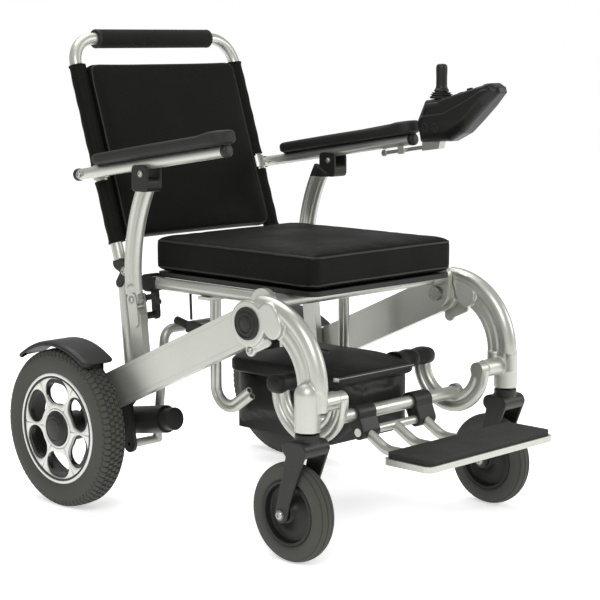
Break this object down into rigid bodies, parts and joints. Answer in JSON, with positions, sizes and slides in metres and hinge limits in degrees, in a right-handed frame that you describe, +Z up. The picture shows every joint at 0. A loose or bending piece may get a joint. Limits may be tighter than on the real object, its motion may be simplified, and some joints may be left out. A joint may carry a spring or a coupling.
{
  "type": "power wheelchair",
  "caption": "Folding battery power wheelchair with geared rear drive wheels, swivel casters, battery bag, flip-up footplate, fold-down back and armrest joystick.",
  "frame": {"origin": "centre of the bounding box on the floor", "axes": "the sitter faces -Y, +Z is up, +X is the sitter's left, +Y is the rear"},
  "size_m": [0.694, 0.977, 0.9332],
  "materials": {
    "frame_silver": "satin silver paint on aluminium tube",
    "frame_grey": "satin grey paint on steel tube",
    "black_plastic": "fine-grained moulded plastic",
    "black_rubber": "soft rubber",
    "tyre_rubber": "black tyre rubber",
    "seat_vinyl": "black upholstery vinyl over foam",
    "bag_fabric": "woven black fabric",
    "bright_steel": "machined steel",
    "rim_alloy": "machined and painted alloy",
    "fork_black": "satin black paint on cast alloy",
    "drive_black": "black-painted steel shaft and cap",
    "motor_black": "satin black paint on aluminium casting"
  },
  "bodies": {
    "rear_frame": {"beam_right": "frame_silver", "beam_left": "frame_silver", "seat_frame": "frame_silver", "pivot_pins": "bright_steel", "rear_uprights": "frame_silver", "rear_cross_tube": "frame_grey", "motor_plates": "motor_black", "gearboxes": "motor_black", "motors": "motor_black", "fenders": "black_plastic", "bag_hangers": "frame_silver", "seat_cushion": "seat_vinyl", "seat_board": "black_plastic", "seat_brackets": "black_plastic", "wiring_plug": "black_plastic"},
    "rear_wheel_right": {"rear_tyre_right": "tyre_rubber", "rear_rim_right": "rim_alloy", "rear_axle_right": "drive_black"},
    "rear_wheel_left": {"rear_tyre_left": "tyre_rubber", "rear_rim_left": "rim_alloy", "rear_axle_left": "drive_black"},
    "front_frame": {"front_leg_right": "frame_silver", "front_leg_left": "frame_silver", "hub_caps": "black_plastic", "bag_rails": "frame_silver", "lower_cross_tube": "frame_silver", "battery_bag": "bag_fabric", "battery_pack": "black_plastic", "bag_bar": "black_rubber", "caster_bearings": "bright_steel"},
    "caster_right": {"caster_fork_right": "fork_black"},
    "caster_left": {"caster_fork_left": "fork_black"},
    "caster_wheel_right": {"caster_tyre_right": "tyre_rubber", "caster_rim_right": "black_plastic"},
    "caster_wheel_left": {"caster_tyre_left": "tyre_rubber", "caster_rim_left": "black_plastic"},
    "footrest": {"footrest_frame": "frame_silver", "footplate_pad": "black_rubber", "footrest_clamps": "black_plastic"},
    "back": {"back_frame": "frame_silver", "push_grip": "black_rubber", "back_upholstery": "seat_vinyl", "back_hinges": "black_plastic"},
    "post_right": {"armrest_post_right": "frame_silver"},
    "post_left": {"armrest_post_left": "frame_silver"},
    "arm_right": {"arm_tube_right": "frame_silver", "arm_pad_right": "black_plastic"},
    "arm_left": {"arm_tube_left": "frame_silver", "arm_pad_left": "black_plastic"},
    "controller": {"controller_housing": "black_plastic", "controller_mount": "bright_steel", "joystick_boot": "black_rubber"},
    "gimbal": {"joystick_gimbal": "bright_steel"},
    "stick": {"joystick": "black_plastic"},
    "power": {"power_button": "black_rubber"},
    "horn": {"horn_button": "black_rubber"},
    "faster": {"faster_button": "black_rubber"},
    "slower": {"slower_button": "black_rubber"},
    "lever_right": {"fold_lever_right": "black_plastic"},
    "lever_left": {"fold_lever_left": "black_plastic"}
  },
  "joints": [
    {"name": "rear_wheel_right_spin", "type": "hinge", "parent": "rear_frame", "child": "rear_wheel_right", "pos_m": [-0.313, 0.3315, 0.157], "axis": [1, 0, 0], "continuous": true},
    {"name": "rear_wheel_left_spin", "type": "hinge", "parent": "rear_frame", "child": "rear_wheel_left", "pos_m": [0.313, 0.3315, 0.157], "axis": [1, 0, 0], "continuous": true},
    {"name": "front_fold", "type": "hinge", "parent": "rear_frame", "child": "front_frame", "pos_m": [0, -0.1525, 0.414], "axis": [1, 0, 0], "range_deg": [0, 35]},
    {"name": "caster_right_swivel", "type": "hinge", "parent": "front_frame", "child": "caster_right", "pos_m": [-0.281, -0.2965, 0.27], "axis": [0, 0, 1], "continuous": true},
    {"name": "caster_left_swivel", "type": "hinge", "parent": "front_frame", "child": "caster_left", "pos_m": [0.281, -0.2965, 0.27], "axis": [0, 0, 1], "continuous": true},
    {"name": "caster_right_spin", "type": "hinge", "parent": "caster_right", "child": "caster_wheel_right", "pos_m": [-0.281, -0.2625, 0.09], "axis": [1, 0, 0], "continuous": true},
    {"name": "caster_left_spin", "type": "hinge", "parent": "caster_left", "child": "caster_wheel_left", "pos_m": [0.281, -0.2625, 0.09], "axis": [1, 0, 0], "continuous": true},
    {"name": "footrest_flip", "type": "hinge", "parent": "front_frame", "child": "footrest", "pos_m": [0, -0.2405, 0.234], "axis": [-1, 0, 0], "range_deg": [0, 75]},
    {"name": "back_fold", "type": "hinge", "parent": "rear_frame", "child": "back", "pos_m": [0, 0.2435, 0.467], "axis": [1, 0, 0], "range_deg": [0, 45]},
    {"name": "post_right_fold", "type": "hinge", "parent": "rear_frame", "child": "post_right", "pos_m": [-0.2405, 0.1995, 0.417], "axis": [1, 0, 0], "range_deg": [0, 37.4]},
    {"name": "post_left_fold", "type": "hinge", "parent": "rear_frame", "child": "post_left", "pos_m": [0.2405, 0.1995, 0.417], "axis": [1, 0, 0], "range_deg": [0, 37.4]},
    {"name": "arm_right_fold", "type": "hinge", "parent": "back", "child": "arm_right", "pos_m": [-0.2575, 0.32947, 0.65229], "axis": [1, 0, 0], "range_deg": [-15.4, 0]},
    {"name": "arm_left_fold", "type": "hinge", "parent": "back", "child": "arm_left", "pos_m": [0.2575, 0.32947, 0.65229], "axis": [1, 0, 0], "range_deg": [-15.4, 0]},
    {"name": "controller_slide", "type": "slide", "parent": "arm_left", "child": "controller", "axis": [0, -0.9883, 0.1528], "range_m": [0, 0.03]},
    {"name": "stick_pitch", "type": "hinge", "parent": "controller", "child": "gimbal", "pos_m": [0.2575, -0.1455, 0.786], "axis": [1, 0, 0], "range_deg": [-15, 15], "stiffness_Nm_per_rad": 0.3},
    {"name": "stick_roll", "type": "hinge", "parent": "gimbal", "child": "stick", "pos_m": [0.2575, -0.1455, 0.786], "axis": [0, 1, 0], "range_deg": [-15, 15], "stiffness_Nm_per_rad": 0.3},
    {"name": "power_press", "type": "slide", "parent": "controller", "child": "power", "axis": [0, -0.274, -0.9617], "range_m": [0, 0.0012], "stiffness_N_per_m": 900},
    {"name": "horn_press", "type": "slide", "parent": "controller", "child": "horn", "axis": [0, -0.274, -0.9617], "range_m": [0, 0.0012], "stiffness_N_per_m": 900},
    {"name": "faster_press", "type": "slide", "parent": "controller", "child": "faster", "axis": [0, -0.274, -0.9617], "range_m": [0, 0.0012], "stiffness_N_per_m": 900},
    {"name": "slower_press", "type": "slide", "parent": "controller", "child": "slower", "axis": [0, -0.274, -0.9617], "range_m": [0, 0.0012], "stiffness_N_per_m": 900},
    {"name": "lever_right_turn", "type": "hinge", "parent": "rear_frame", "child": "lever_right", "pos_m": [-0.2235, 0.1995, 0.417], "axis": [1, 0, 0], "range_deg": [0, 30]},
    {"name": "lever_left_turn", "type": "hinge", "parent": "rear_frame", "child": "lever_left", "pos_m": [0.2235, 0.1995, 0.417], "axis": [1, 0, 0], "range_deg": [0, 30]}
  ],
  "couplings": [
    {"joint": "post_right_fold", "follows": "back_fold", "ratio": 0.83},
    {"joint": "post_left_fold", "follows": "back_fold", "ratio": 0.83},
    {"joint": "arm_right_fold", "follows": "back_fold", "ratio": -0.34},
    {"joint": "arm_left_fold", "follows": "back_fold", "ratio": -0.34}
  ]
}
